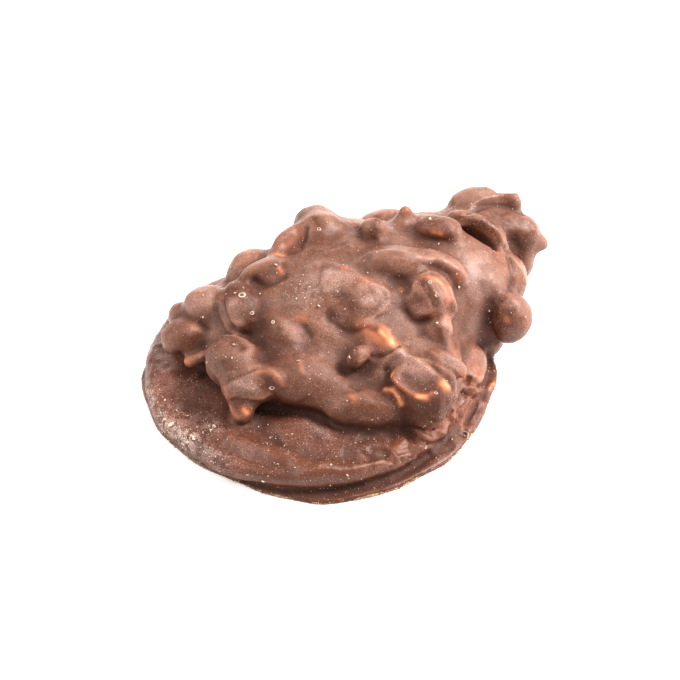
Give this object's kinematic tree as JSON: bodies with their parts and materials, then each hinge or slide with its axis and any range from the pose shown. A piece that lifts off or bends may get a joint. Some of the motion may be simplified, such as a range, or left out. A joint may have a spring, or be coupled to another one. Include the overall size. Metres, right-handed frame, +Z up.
{
  "type": "pecan chocolate cluster",
  "caption": "Milk chocolate nut cluster: a round chocolate puddle that carries a lumpy mound of coated pecan pieces, with one piece sticking out past the edge.",
  "frame": {"origin": "on the flat underside, at the middle of the outline's bounding box", "axes": "+Z up from the face it rests on; +X to the picture's right, towards the piece that sticks out; +Y away from the picture's camera"},
  "size_m": [0.0746, 0.0665, 0.024],
  "materials": {
    "milk_chocolate": "satin",
    "nut_crumbs": "matte"
  },
  "bodies": {
    "root": {"cluster": "milk_chocolate"}
  },
  "joints": []
}
